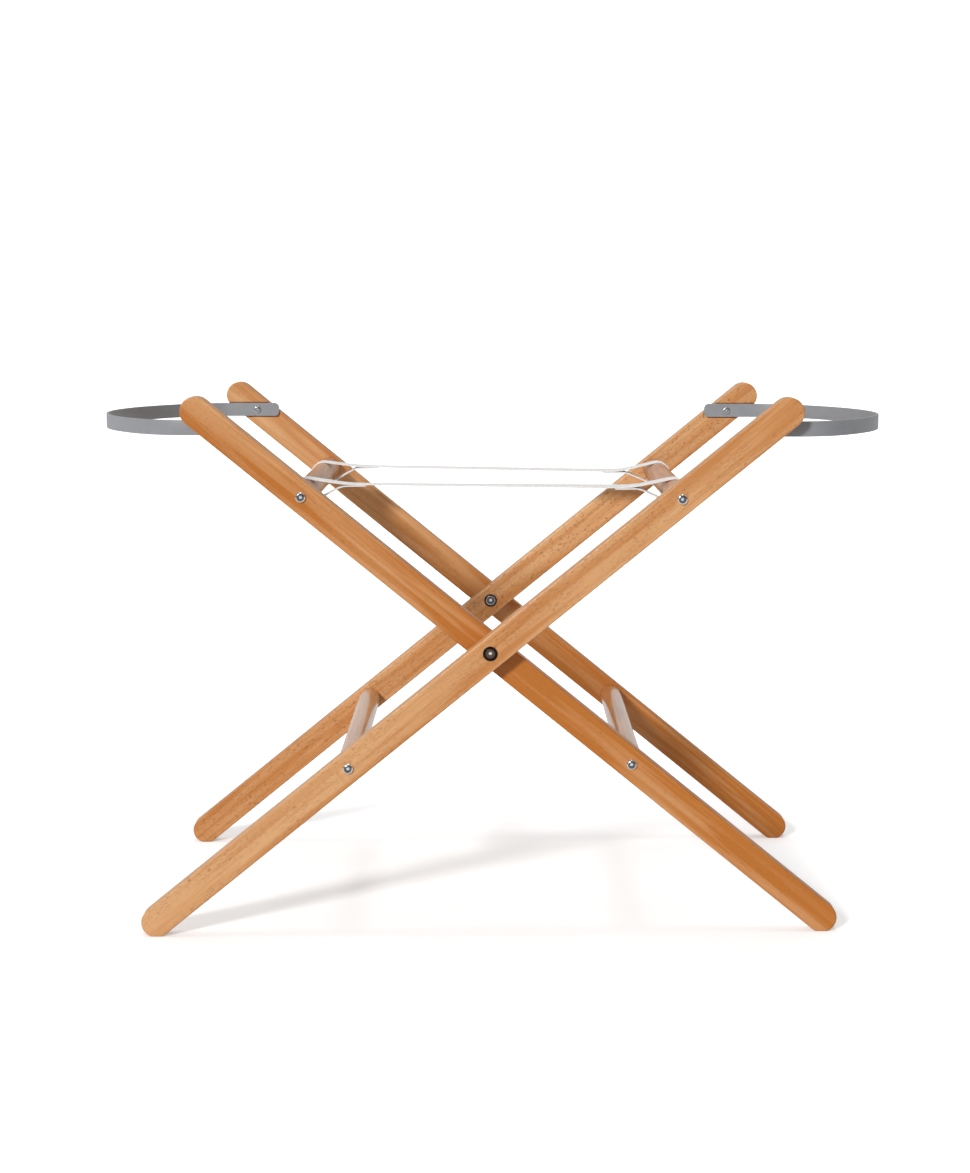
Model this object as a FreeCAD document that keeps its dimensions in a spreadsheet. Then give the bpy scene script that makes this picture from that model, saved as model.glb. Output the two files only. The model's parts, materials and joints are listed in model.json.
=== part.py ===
import FreeCAD, Part
import Sketcher
import os
from FreeCAD import Placement, Rotation, Vector

# Folding stand for a baby's basket.
#
# Two crossed frames turn on a pair of pivots.  Each frame is an outer leg, an inner leg, two round
# rails between them and a steel hoop at the top.  Frame B is modelled where it stands, and frame A is
# the same frame turned half a turn about the upright line through the middle.  Only the hoops are
# handed: each has its short end at the front of the stand.
#
# Origin: middle of the footprint, on the floor.  +X across the stand, +Y to the back, +Z up.
# Frame B rises towards +X.  Its outer leg is at -Y and its inner leg is at +Y.

doc = FreeCAD.newDocument("basket_stand")

# ---------------------------------------------------------------- driving sizes, mm and degrees

SIZES = {
    # frames
    "overall_width": 430,
    "pivot_height": 285,
    "leg_slope": 39.2,
    "leg_width": 30,
    "leg_thickness": 20,
    "leg_above_pivot": 372,
    "leg_edge_radius": 1.6,
    "leg_gap": 1,
    "foot_cut": 1,
    # rails
    "rail_diameter": 24,
    "rail_end_chamfer": 1,
    "rail_socket_depth": 4,
    "rail_socket_clearance": 0.05,
    "upper_rail_reach": 240,
    "lower_rail_reach": 181,
    # rail bolts and the threaded inserts in the rail ends
    "bolt_diameter": 6,
    "bolt_tip_gap": 1,
    "bolt_hole_clearance": 0.2,
    "bolt_head_diameter": 10.5,
    "bolt_head_height": 3.3,
    "bolt_head_round": 2.2,
    "bolt_key": 4,
    "bolt_key_depth": 2,
    "insert_diameter": 9,
    "insert_length": 15,
    # pivots
    "sleeve_diameter": 8,
    "sleeve_floor": 2,
    "pivot_running_clearance": 0.1,
    "pivot_play": 0.1,
    "pivot_bolt_diameter": 6,
    "pivot_tip_gap": 4.7,
    "pivot_head_diameter": 11.5,
    "pivot_head_height": 2.6,
    "pivot_head_round": 0.6,
    "pivot_key": 4,
    "pivot_key_depth": 1.8,
    "counterbore_diameter": 14.5,
    "counterbore_depth": 3.2,
    "spacer_diameter": 22,
    # hoops
    "hoop_reach": 406,
    "hoop_band_height": 15,
    "hoop_band_thickness": 3,
    "hoop_corner_radius": 62,
    "hoop_straight": 29,
    "hoop_screw_reach": 346,
    "hoop_back_tab": 25,
    "hoop_front_tab": 15,
    "hoop_tab_chamfer": 3,
    "housing_depth": 2,
    "housing_clearance": 1.2,
    "screw_diameter": 4,
    "screw_length": 16,
    "screw_head_diameter": 8,
    "screw_head_height": 2.2,
    "screw_head_round": 1.4,
    "screw_key": 2.5,
    "screw_key_depth": 1.2,
    # carrying straps
    "strap_place": 114,
    "strap_width": 25,
    "strap_thickness": 1.6,
    "strap_rise": 5,
    "strap_loop_length": 40,
    "strap_clearance": 0.3,
}

TOUCH = 1e-4             # places nearer than this, in mm, are one place
LEAST_CUT = 1            # a cut that takes less than this, in cubic mm, has missed
STRAP_ARCS = {1: (-1.9, 1.7), -1: (1.44, 5.04)}     # rough ends of the loops, before they are tied

sheet = doc.addObject("Spreadsheet::Sheet", "Sizes")
for row, (alias, value) in enumerate(SIZES.items(), start=1):
    sheet.set(f"A{row}", alias)
    sheet.set(f"B{row}", str(value))
    sheet.setAlias(f"B{row}", alias)
doc.recompute()


def size(text):
    """The expression `text` with every bare size name bound to its cell."""
    words = sorted(SIZES, key=len, reverse=True)
    for number, word in enumerate(words):
        text = text.replace(word, f"@{number}@")
    for number, word in enumerate(words):
        text = text.replace(f"@{number}@", f"Sizes.{word}")
    return text


def value(text):
    """What an expression comes to now."""
    return float(sheet.evalExpression(size(text)))


# ---------------------------------------------------------------- places worked out from the sizes

# faces of frame B's legs along Y
OUTER_LEG_OUT = "(-overall_width / 2)"
OUTER_LEG_IN = "(leg_thickness - overall_width / 2)"
INNER_LEG_OUT = "(overall_width / 2 - leg_thickness - leg_gap)"
INNER_LEG_IN = "(overall_width / 2 - 2 * leg_thickness - leg_gap)"
FRAME_MIDDLE = f"(({OUTER_LEG_IN} + {INNER_LEG_IN}) / 2)"
FRAME_HALF = f"(({INNER_LEG_IN} - {OUTER_LEG_IN}) / 2)"


def along_leg(reach):
    """X and Z of the point of frame B's leg line that is `reach` above the pivot."""
    return f"(({reach}) * cos(leg_slope))", f"(pivot_height + ({reach}) * sin(leg_slope))"


FOOT_REACH = "(-(pivot_height + foot_cut - leg_width / 2) / sin(leg_slope))"
PIVOT = along_leg("0")
UPPER_RAIL = along_leg("upper_rail_reach")
LOWER_RAIL = along_leg("-lower_rail_reach")
HOOP_SCREW = along_leg("hoop_screw_reach")

BOLT_LENGTH = "(leg_thickness - rail_socket_depth + insert_length - bolt_tip_gap)"
RAIL_FRONT = f"({OUTER_LEG_IN} - rail_socket_depth)"
RAIL_BACK = f"({INNER_LEG_IN} + rail_socket_depth)"

# the pivot's two heads bear on the floors of the counterbores
SLEEVE_SEAT = f"({INNER_LEG_IN} + counterbore_depth)"
SLEEVE_FLOOR = f"({SLEEVE_SEAT} + sleeve_floor)"
PIVOT_BOLT_SEAT = "(overall_width / 2 - counterbore_depth + pivot_play)"
PIVOT_BOLT_LENGTH = f"({PIVOT_BOLT_SEAT} - {SLEEVE_FLOOR} - pivot_tip_gap)"


# ---------------------------------------------------------------- small makers

def origin_plane(body, role):
    return next(item for item in body.Origin.OriginFeatures if item.Role == role)


def new_sketch(body, name, role, offset="0"):
    """A sketch on one of the body's own origin planes, moved `offset` along the plane's normal."""
    sketch = body.newObject("Sketcher::SketchObject", name)
    sketch.AttachmentSupport = [(origin_plane(body, role), "")]
    sketch.MapMode = "FlatFace"
    sketch.setExpression("AttachmentOffset.Base.z", size(offset))
    return sketch


def pin(sketch, item, point, across, up):
    """Hold one point of a sketch item at the place that two expressions give."""
    for kind, text in (("DistanceX", across), ("DistanceY", up)):
        number = sketch.addConstraint(Sketcher.Constraint(kind, -1, 1, item, point, value(text)))
        sketch.setExpression(f"Constraints[{number}]", size(text))


def set_radius(sketch, item, text):
    number = sketch.addConstraint(Sketcher.Constraint("Radius", item, value(text)))
    sketch.setExpression(f"Constraints[{number}]", size(text))


def spot(across, up):
    return Vector(value(across), value(up), 0)


def polygon(sketch, corners):
    """A closed outline of straight sides, with every corner pinned."""
    first = sketch.GeometryCount
    count = len(corners)
    for number in range(count):
        here, after = corners[number], corners[(number + 1) % count]
        sketch.addGeometry(Part.LineSegment(spot(*here), spot(*after)), False)
    for number in range(count):
        join = Sketcher.Constraint("Coincident", first + number, 2, first + (number + 1) % count, 1)
        sketch.addConstraint(join)
        pin(sketch, first + number, 1, *corners[number])


def turned(name, corners):
    """A piece turned about the Y axis; corners are pairs of radius and Y."""
    body = doc.addObject("PartDesign::Body", name)
    sketch = new_sketch(body, name + "_profile", "XY_Plane")
    polygon(sketch, corners)
    doc.recompute()
    turning = body.newObject("PartDesign::Revolution", name + "_turning")
    turning.Profile = sketch
    turning.ReferenceAxis = (sketch, ["V_Axis"])
    turning.Angle = 360
    doc.recompute()
    return body


def round_edges(body, name, radius, wanted, kind="Fillet"):
    """Fillet or chamfer the edges of a body that `wanted` picks."""
    base = body.Tip
    names = [f"Edge{number}" for number, edge in enumerate(base.Shape.Edges, start=1) if wanted(edge)]
    feature = body.newObject("PartDesign::" + kind, name)
    feature.Base = (base, names)
    feature.setExpression("Radius" if kind == "Fillet" else "Size", size(radius))
    doc.recompute()


def circle_at(height):
    """Picks the outermost circular edge at this Y."""
    level = value(height)

    def wanted(edge):
        flat = abs(edge.BoundBox.YMin - level) < TOUCH and abs(edge.BoundBox.YMax - level) < TOUCH
        return flat and edge.Curve.TypeId == "Part::GeomCircle"
    return wanted


def put(piece, across="0", up="0"):
    """Move a piece sideways and up to the place that two expressions give."""
    piece.setExpression("Placement.Base.x", size(across))
    piece.setExpression("Placement.Base.z", size(up))
    return piece


def drill(name, diameter, start, end, place):
    """A cylinder along Y between two faces, used as a cutter."""
    tool = doc.addObject("Part::Cylinder", name)
    tool.Placement = Placement(Vector(), Rotation(Vector(1, 0, 0), -90))
    tool.setExpression("Radius", size(f"({diameter}) / 2"))
    tool.setExpression("Height", size(f"({end}) - ({start})"))
    tool.setExpression("Placement.Base.y", size(start))
    return put(tool, *place)


def hexagon(name, across_flats, start, end, place="0"):
    """A six-sided key hole along Y, used as a cutter."""
    tool = doc.addObject("Part::Prism", name)
    tool.Polygon = 6
    tool.Placement = Placement(Vector(), Rotation(Vector(1, 0, 0), -90))
    tool.setExpression("Circumradius", size(f"({across_flats}) / (2 * cos(30))"))
    tool.setExpression("Height", size(f"({end}) - ({start})"))
    tool.setExpression("Placement.Base.y", size(start))
    return put(tool, *place)


def cut(name, base, tools):
    joined = tools[0]
    if len(tools) > 1:
        joined = doc.addObject("Part::MultiFuse", name + "_cutters")
        joined.Shapes = tools
    result = doc.addObject("Part::Cut", name)
    result.Base = base
    result.Tool = joined
    return result


def group(name, pieces):
    result = doc.addObject("Part::Compound", name)
    result.Links = pieces
    return result


# ---------------------------------------------------------------- pieces

def socket_screw(name, place, seat, way, sizes):
    """A socket-head screw along Y.  Its head bears on `seat` and its shank runs towards `way`."""
    head_radius, head_height, head_round, shank_radius, length, key, key_depth = sizes

    def at(depth):
        return f"({seat} + ({way}) * ({depth}))"

    top = at(f"-({head_height})")
    blank = turned(name + "_blank", [
        ("0", top), (head_radius, top), (head_radius, seat),
        (shank_radius, seat), (shank_radius, at(length)), ("0", at(length))])
    round_edges(blank, name + "_dome", head_round, circle_at(top))
    put(blank, *place)
    ends = [top, at(f"({key_depth}) - ({head_height})")]
    if way < 0:
        ends.reverse()
    return cut(name, blank, [hexagon(name + "_key", key, ends[0], ends[1], place)])


RAIL_BOLT = ("bolt_head_diameter / 2", "bolt_head_height", "bolt_head_round", "bolt_diameter / 2",
             BOLT_LENGTH, "bolt_key", "bolt_key_depth")
PIVOT_BOLT = ("pivot_head_diameter / 2", "pivot_head_height", "pivot_head_round",
              "pivot_bolt_diameter / 2", PIVOT_BOLT_LENGTH, "pivot_key", "pivot_key_depth")
HOOP_SCREW_SIZES = ("screw_head_diameter / 2", "screw_head_height", "screw_head_round",
                    "screw_diameter / 2", "screw_length", "screw_key", "screw_key_depth")


def leg_bar(name, near, far):
    """A leg bar with round ends and a small flat where it meets the floor, between two Y faces."""
    top, foot = along_leg("leg_above_pivot"), along_leg(FOOT_REACH)
    body = doc.addObject("PartDesign::Body", name)
    sketch = new_sketch(body, name + "_outline", "XZ_Plane", f"-({near})")
    slope = value("leg_slope")
    across = Rotation(Vector(0, 0, 1), slope + 90).multVec(Vector(value("leg_width / 2"), 0, 0))
    quarter = FreeCAD.Units.Quantity("90 deg").getValueAs("rad").Value
    lean = FreeCAD.Units.Quantity(f"{slope} deg").getValueAs("rad").Value
    ends = (spot(*top), spot(*foot))
    sketch.addGeometry(Part.ArcOfCircle(
        Part.Circle(ends[0], Vector(0, 0, 1), across.Length), lean - quarter, lean + quarter), False)
    sketch.addGeometry(Part.LineSegment(ends[0] + across, ends[1] + across), False)
    sketch.addGeometry(Part.ArcOfCircle(
        Part.Circle(ends[1], Vector(0, 0, 1), across.Length), lean + quarter, lean + 3 * quarter), False)
    sketch.addGeometry(Part.LineSegment(ends[1] - across, ends[0] - across), False)
    for number in range(4):
        sketch.addConstraint(Sketcher.Constraint("Tangent", number, 2, (number + 1) % 4, 1))
    pin(sketch, 0, 3, *top)
    pin(sketch, 2, 3, *foot)
    set_radius(sketch, 0, "leg_width / 2")
    doc.recompute()
    bar = body.newObject("PartDesign::Pad", name + "_bar")
    bar.Profile = sketch
    bar.Reversed = True
    bar.setExpression("Length", size(f"({far}) - ({near})"))
    doc.recompute()
    floor = new_sketch(body, name + "_floor", "XZ_Plane", f"-({near})")
    left, right = f"{foot[0]} - leg_width", f"{foot[0]} + leg_width"
    polygon(floor, [(left, "-leg_width"), (right, "-leg_width"), (right, "0"), (left, "0")])
    doc.recompute()
    flat = body.newObject("PartDesign::Pocket", name + "_foot_flat")
    flat.Profile = floor
    flat.setExpression("Length", size(f"({far}) - ({near})"))
    doc.recompute()
    if flat.Shape.Volume > bar.Shape.Volume - LEAST_CUT:
        raise RuntimeError(name + " has no foot flat")
    round_edges(body, name + "_arris", "leg_edge_radius", lambda edge: edge.BoundBox.YLength < TOUCH)
    return body


def leg(name, near, far, inside):
    """A leg with its bores.  `inside` is the face that looks into the frame, near or far."""
    blank = leg_bar(name + "_blank", near, far)
    tools = [
        drill(name + "_pivot_bore", "sleeve_diameter + 2 * pivot_running_clearance", near, far, PIVOT),
        drill(name + "_pivot_counterbore", "counterbore_diameter", near,
              f"({near}) + counterbore_depth", PIVOT)]

    def inward(depth):
        inner = f"({near})" if inside == near else f"({far}) - ({depth})"
        outer = f"({near}) + ({depth})" if inside == near else f"({far})"
        return inner, outer

    for end, place in (("upper", UPPER_RAIL), ("lower", LOWER_RAIL)):
        tools.append(drill(f"{name}_{end}_bolt_hole", "bolt_diameter + 2 * bolt_hole_clearance",
                           near, far, place))
        tools.append(drill(f"{name}_{end}_socket", "rail_diameter + 2 * rail_socket_clearance",
                           *inward("rail_socket_depth"), place))
    housing = doc.addObject("Part::Box", name + "_housing")
    start, end = inward("housing_depth")
    housing.setExpression("Length", size("4 * leg_width"))
    housing.setExpression("Width", size(f"({end}) - ({start})"))
    housing.setExpression("Height", size("hoop_band_height + 2 * housing_clearance"))
    housing.setExpression("Placement.Base.y", size(start))
    put(housing, f"{HOOP_SCREW[0]} - hoop_back_tab - housing_clearance",
        f"{HOOP_SCREW[1]} - hoop_band_height / 2 - housing_clearance")
    tools.append(housing)
    seat = f"({inside}) + hoop_band_thickness - housing_depth" if inside == far \
        else f"({inside}) - hoop_band_thickness + housing_depth"
    way = -1 if inside == far else 1
    ends = [seat, f"{seat} + {way} * screw_length"]
    if way < 0:
        ends.reverse()
    tools.append(drill(name + "_screw_hole", "screw_diameter", ends[0], ends[1], HOOP_SCREW))
    return cut(name, blank, tools)


def rail(name, place):
    """A round rail with a threaded insert's bore in each end."""
    front, back = RAIL_FRONT, RAIL_BACK
    profile = [
        ("insert_diameter / 2", front), ("rail_diameter / 2 - rail_end_chamfer", front),
        ("rail_diameter / 2", f"{front} + rail_end_chamfer"),
        ("rail_diameter / 2", f"{back} - rail_end_chamfer"),
        ("rail_diameter / 2 - rail_end_chamfer", back), ("insert_diameter / 2", back),
        ("insert_diameter / 2", f"{back} - insert_length"), ("0", f"{back} - insert_length"),
        ("0", f"{front} + insert_length"), ("insert_diameter / 2", f"{front} + insert_length")]
    return put(turned(name, profile), *place)


def insert(name, place, start, end):
    profile = [("bolt_diameter / 2", start), ("insert_diameter / 2", start),
               ("insert_diameter / 2", end), ("bolt_diameter / 2", end)]
    return put(turned(name, profile), *place)


def hoop(name, near_tab, far_tab):
    """A flat steel band bent to a D: two straight ends, two corners and a gently bowed end."""
    half = f"({FRAME_HALF} + housing_depth - hoop_band_thickness / 2)"
    near_start = f"({HOOP_SCREW[0]} - {near_tab})"
    far_start = f"({HOOP_SCREW[0]} - {far_tab})"
    reach = "(hoop_reach - hoop_band_thickness / 2)"
    corner_up = f"({half} - hoop_corner_radius)"
    corner_across = f"({HOOP_SCREW[0]} + hoop_straight)"
    depth = f"({reach} - {corner_across})"
    bow_radius = (f"(({depth} ^ 2 + {corner_up} ^ 2 - hoop_corner_radius ^ 2)"
                  f" / (2 * ({depth} - hoop_corner_radius)))")
    bow_centre = f"({reach} - {bow_radius})"
    body = doc.addObject("PartDesign::Body", name)
    path = new_sketch(body, name + "_path", "XY_Plane", HOOP_SCREW[1])
    middle = value(FRAME_MIDDLE)
    turn = Vector(value(corner_across) - value(bow_centre), value(corner_up), 0)
    lean = turn.getAngle(Vector(1, 0, 0))
    quarter = Vector(0, 1, 0).getAngle(Vector(1, 0, 0))

    def arc(across, up, radius, begin, finish):
        circle = Part.Circle(Vector(value(across), middle + up, 0), Vector(0, 0, 1), value(radius))
        path.addGeometry(Part.ArcOfCircle(circle, begin, finish), False)

    def side(start, up):
        ends = Vector(value(start), middle + up, 0), Vector(value(corner_across), middle + up, 0)
        path.addGeometry(Part.LineSegment(*ends), False)

    side(near_start, -value(half))
    arc(corner_across, -value(corner_up), "hoop_corner_radius", -quarter, -lean)
    arc(bow_centre, 0, bow_radius, -lean, lean)
    arc(corner_across, value(corner_up), "hoop_corner_radius", lean, quarter)
    side(far_start, value(half))
    for first, first_end, second, second_end in ((0, 2, 1, 1), (1, 2, 2, 1), (2, 2, 3, 1), (3, 2, 4, 2)):
        path.addConstraint(Sketcher.Constraint("Tangent", first, first_end, second, second_end))
    pin(path, 0, 1, near_start, f"{FRAME_MIDDLE} - {half}")
    pin(path, 4, 1, far_start, f"{FRAME_MIDDLE} + {half}")
    pin(path, 2, 3, bow_centre, FRAME_MIDDLE)
    for item, radius in ((1, "hoop_corner_radius"), (2, bow_radius), (3, "hoop_corner_radius")):
        set_radius(path, item, radius)
    path.addConstraint(Sketcher.Constraint("Horizontal", 0))
    path.addConstraint(Sketcher.Constraint("Horizontal", 4))
    section = new_sketch(body, name + "_section", "YZ_Plane", near_start)
    low, high = f"{HOOP_SCREW[1]} - hoop_band_height / 2", f"{HOOP_SCREW[1]} + hoop_band_height / 2"
    near = f"{FRAME_MIDDLE} - {half} - hoop_band_thickness / 2"
    far = f"{FRAME_MIDDLE} - {half} + hoop_band_thickness / 2"
    polygon(section, [(near, low), (far, low), (far, high), (near, high)])
    doc.recompute()
    band = body.newObject("PartDesign::AdditivePipe", name + "_band")
    band.Profile = section
    band.Spine = path
    doc.recompute()
    screw_across = value(HOOP_SCREW[0])

    def tab_corner(edge):
        box = edge.BoundBox
        return box.XMax < screw_across and box.XLength < TOUCH and box.ZLength < TOUCH

    round_edges(body, name + "_tab_corners", "hoop_tab_chamfer", tab_corner, "Chamfer")
    holes = [drill(f"{name}_{end}_hole", "screw_diameter", f"{face} - 2 * hoop_band_thickness",
                   f"{face} + 2 * hoop_band_thickness", HOOP_SCREW)
             for end, face in (("front", OUTER_LEG_IN), ("back", INNER_LEG_IN))]
    return cut(name + "_drilled", body, holes)


def pivot_sleeve(name):
    """The nut of the pivot: a head in the inner leg and a sleeve through both legs."""
    top = f"({SLEEVE_SEAT} - pivot_head_height)"
    blank = turned(name + "_blank", [
        ("0", top), ("pivot_head_diameter / 2", top), ("pivot_head_diameter / 2", SLEEVE_SEAT),
        ("sleeve_diameter / 2", SLEEVE_SEAT), ("sleeve_diameter / 2", PIVOT_BOLT_SEAT),
        ("pivot_bolt_diameter / 2", PIVOT_BOLT_SEAT), ("pivot_bolt_diameter / 2", SLEEVE_FLOOR),
        ("0", SLEEVE_FLOOR)])
    round_edges(blank, name + "_dome", "pivot_head_round", circle_at(top))
    put(blank, *PIVOT)
    return cut(name, blank, [hexagon(name + "_key", "pivot_key", top, f"{top} + pivot_key_depth", PIVOT)])


def pivot_spacer(name):
    """The plastic ring that keeps the two legs apart."""
    near, far = INNER_LEG_OUT, f"({INNER_LEG_OUT} + leg_gap - pivot_play)"
    bore = "sleeve_diameter / 2"
    return put(turned(name, [(bore, near), ("spacer_diameter / 2", near),
                             ("spacer_diameter / 2", far), (bore, far)]), *PIVOT)


def strap(name, middle):
    """A carrying strap: a straight run with a closed loop round each upper rail."""
    body = doc.addObject("PartDesign::Body", name)
    sketch = new_sketch(body, name + "_outline", "XZ_Plane", f"-({middle}) - strap_width / 2")
    bore = "(rail_diameter / 2 + strap_clearance)"
    outside = f"({bore} + strap_thickness)"
    centre_x, centre_z = UPPER_RAIL
    join = f"({centre_x} - strap_loop_length)"
    level = f"({centre_z} + strap_rise)"
    high, low = f"({level} + strap_thickness / 2)", f"({level} - strap_thickness / 2)"
    lines = []
    for way in (1, -1):
        sketch.addGeometry(Part.ArcOfCircle(
            Part.Circle(Vector(way * value(centre_x), value(centre_z), 0), Vector(0, 0, 1),
                        value(outside)), *STRAP_ARCS[way]), False)
    corner = {(way, height): Vector(way * value(join), value(height), 0)
              for way in (1, -1) for height in (high, low)}
    right, left = sketch.Geometry[0], sketch.Geometry[1]
    lines.append((right.EndPoint, corner[1, high]))
    lines.append((corner[1, high], corner[-1, high]))
    lines.append((corner[-1, high], left.StartPoint))
    lines.append((left.EndPoint, corner[-1, low]))
    lines.append((corner[-1, low], corner[1, low]))
    lines.append((corner[1, low], right.StartPoint))
    for ends in lines:
        sketch.addGeometry(Part.LineSegment(*ends), False)
    for first, first_end, second, second_end in ((0, 2, 2, 1), (4, 2, 1, 1), (1, 2, 5, 1), (7, 2, 0, 1)):
        sketch.addConstraint(Sketcher.Constraint("Tangent", first, first_end, second, second_end))
    for first, second in ((2, 3), (3, 4), (5, 6), (6, 7)):
        sketch.addConstraint(Sketcher.Constraint("Coincident", first, 2, second, 1))
    pin(sketch, 0, 3, centre_x, centre_z)
    pin(sketch, 1, 3, f"-{centre_x}", centre_z)
    set_radius(sketch, 0, outside)
    set_radius(sketch, 1, outside)
    pin(sketch, 2, 2, join, high)
    pin(sketch, 3, 2, f"-{join}", high)
    pin(sketch, 5, 2, f"-{join}", low)
    pin(sketch, 6, 2, join, low)
    for way in ("", "-"):
        circle = Part.Circle(Vector(value(way + centre_x), value(centre_z), 0), Vector(0, 0, 1), value(bore))
        number = sketch.addGeometry(circle, False)
        pin(sketch, number, 3, way + centre_x, centre_z)
        set_radius(sketch, number, bore)
    doc.recompute()
    web = body.newObject("PartDesign::Pad", name + "_web")
    web.Profile = sketch
    web.setExpression("Length", size("strap_width"))
    doc.recompute()
    return body


def frame(tag):
    """The pieces of one frame, where frame B stands, as pairs of node name and object."""
    pieces = [
        (f"leg_outer_{tag}", leg(f"outer_{tag}", OUTER_LEG_OUT, OUTER_LEG_IN, OUTER_LEG_IN)),
        (f"leg_inner_{tag}", leg(f"inner_{tag}", INNER_LEG_IN, INNER_LEG_OUT, INNER_LEG_IN)),
        (f"upper_rail_{tag}", rail(f"upper_dowel_{tag}", UPPER_RAIL)),
        (f"lower_rail_{tag}", rail(f"lower_dowel_{tag}", LOWER_RAIL)),
    ]
    bolts, inserts = [], []
    for height, place in (("upper", UPPER_RAIL), ("lower", LOWER_RAIL)):
        stem = f"{height}_{tag}"
        bolts.append(socket_screw(f"bolt_front_{stem}", place, OUTER_LEG_OUT, 1, RAIL_BOLT))
        bolts.append(socket_screw(f"bolt_back_{stem}", place, INNER_LEG_OUT, -1, RAIL_BOLT))
        inserts.append(insert(f"insert_front_{stem}", place, RAIL_FRONT, f"{RAIL_FRONT} + insert_length"))
        inserts.append(insert(f"insert_back_{stem}", place, f"{RAIL_BACK} - insert_length", RAIL_BACK))
    tabs = ("hoop_front_tab", "hoop_back_tab") if tag == "b" else ("hoop_back_tab", "hoop_front_tab")
    lip = "(hoop_band_thickness - housing_depth)"
    screws = [
        socket_screw(f"screw_front_{tag}", HOOP_SCREW, f"({OUTER_LEG_IN} + {lip})", -1, HOOP_SCREW_SIZES),
        socket_screw(f"screw_back_{tag}", HOOP_SCREW, f"({INNER_LEG_IN} - {lip})", 1, HOOP_SCREW_SIZES)]
    pieces += [
        (f"rail_bolts_{tag}", group(f"bolt_group_{tag}", bolts)),
        (f"rail_inserts_{tag}", group(f"insert_group_{tag}", inserts)),
        (f"hoop_{tag}", hoop(f"band_{tag}", *tabs)),
        (f"hoop_screws_{tag}", group(f"screw_group_{tag}", screws)),
        (f"pivot_sleeve_nut_{tag}", pivot_sleeve(f"sleeve_{tag}")),
        (f"pivot_bolt_{tag}", socket_screw(f"pin_{tag}", PIVOT, PIVOT_BOLT_SEAT, -1, PIVOT_BOLT)),
        (f"pivot_spacer_{tag}", pivot_spacer(f"ring_{tag}")),
    ]
    return pieces


# ---------------------------------------------------------------- the stand

nodes = frame("b")
half_turn = Placement(Vector(), Rotation(Vector(0, 0, 1), 180))
for node, piece in frame("a"):
    turned_round = doc.addObject("Part::Compound", node + "_turned_round")
    turned_round.Links = [piece]
    turned_round.Placement = half_turn
    nodes.append((node, turned_round))
nodes.append(("strap_front", strap("web_front", "-strap_place")))
nodes.append(("strap_back", strap("web_back", "strap_place")))
for node, piece in nodes:
    piece.Label = node
doc.recompute()

for item in doc.Objects:
    if "Invalid" in item.State or "Error" in item.State:
        raise RuntimeError(f"{item.Name} failed: {item.State}")

os.makedirs("parts", exist_ok=True)
for node, piece in nodes:
    shape = piece.Shape
    if shape.isNull() or not shape.isValid() or not shape.Solids:
        raise RuntimeError(node + " has no valid solid")
    shape.exportStep(f"parts/{node}.step")
    box = shape.BoundBox
    spans = f"x {box.XMin:7.1f} {box.XMax:7.1f} y {box.YMin:7.1f} {box.YMax:7.1f} z {box.ZMin:6.1f} {box.ZMax:6.1f}"
    print(f"{node:22s} solids {len(shape.Solids)} volume {shape.Volume:10.1f} {spans}")
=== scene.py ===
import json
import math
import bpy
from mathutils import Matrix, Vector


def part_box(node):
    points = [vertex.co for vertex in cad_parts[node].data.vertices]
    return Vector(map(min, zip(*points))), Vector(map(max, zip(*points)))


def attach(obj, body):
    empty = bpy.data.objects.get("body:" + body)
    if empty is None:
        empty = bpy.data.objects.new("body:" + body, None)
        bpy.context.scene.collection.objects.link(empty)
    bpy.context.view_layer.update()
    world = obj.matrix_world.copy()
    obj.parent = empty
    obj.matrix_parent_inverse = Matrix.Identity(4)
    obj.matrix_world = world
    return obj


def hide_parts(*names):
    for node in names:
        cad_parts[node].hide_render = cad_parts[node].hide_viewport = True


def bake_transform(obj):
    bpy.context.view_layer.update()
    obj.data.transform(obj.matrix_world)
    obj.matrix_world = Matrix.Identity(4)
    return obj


bl_info = {
    "name": "Folding Basket Stand",
    "version": (1, 0, 0),
    "blender": (4, 5, 0),
    "location": "View3D > Sidebar > Basket Stand",
    "description": "Beech cross-leg stand for a baby's basket, with steel hoops and carrying straps",
    "category": "Object",
}

import bmesh
import bpy
from bpy.props import FloatProperty, FloatVectorProperty, PointerProperty
from mathutils import Euler, Matrix, Vector

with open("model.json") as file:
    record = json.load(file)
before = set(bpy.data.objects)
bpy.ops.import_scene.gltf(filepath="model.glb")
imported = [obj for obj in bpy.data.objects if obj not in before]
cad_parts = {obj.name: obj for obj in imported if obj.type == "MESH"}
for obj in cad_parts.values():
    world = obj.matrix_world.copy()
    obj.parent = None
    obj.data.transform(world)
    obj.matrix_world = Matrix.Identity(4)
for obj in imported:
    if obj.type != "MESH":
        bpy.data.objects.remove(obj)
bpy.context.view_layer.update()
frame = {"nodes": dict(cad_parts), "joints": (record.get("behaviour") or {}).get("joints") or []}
NODES = frame["nodes"]

MM = 0.001
SIDES = {"a": -1, "b": 1}          # frame A rises towards -X, frame B towards +X

# How each strap lies: how far its +X end drops below the middle, and its roll near that end.
STRAP_LAY = {"front": (1.2 * MM, math.radians(2.0)), "back": (2.3 * MM, math.radians(1.2))}

# Screw heads by node: radius, colour of the rim, colour of the ring inside it, a painted reflection across
# the head's face.
HEADS = {
    "rail_bolts": (5.25 * MM, (0.93, 0.93, 0.93), (0.17, 0.19, 0.215)),
    "hoop_screws": (3.8 * MM, (0.62, 0.63, 0.65), (0.40, 0.41, 0.43)),
    "pivot_sleeve_nut": (6 * MM, (0.42, 0.42, 0.43), (0.13, 0.13, 0.14)),
    "pivot_bolt": (6 * MM, (0.030, 0.026, 0.024), (0.15, 0.105, 0.07)),
}
# Painted glint: a bright reflection painted on the floor of each key recess.
RECESS_GLINT_COLOUR = (0.93, 0.93, 0.93)       # the bright floor of each key recess
BOARD_STEP = Vector((1.7, 0.31, 0.23))   # from one piece's cut of the timber to the next one's, in metres


def middle(node):
    low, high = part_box(node)
    return (low + high) / 2


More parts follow.
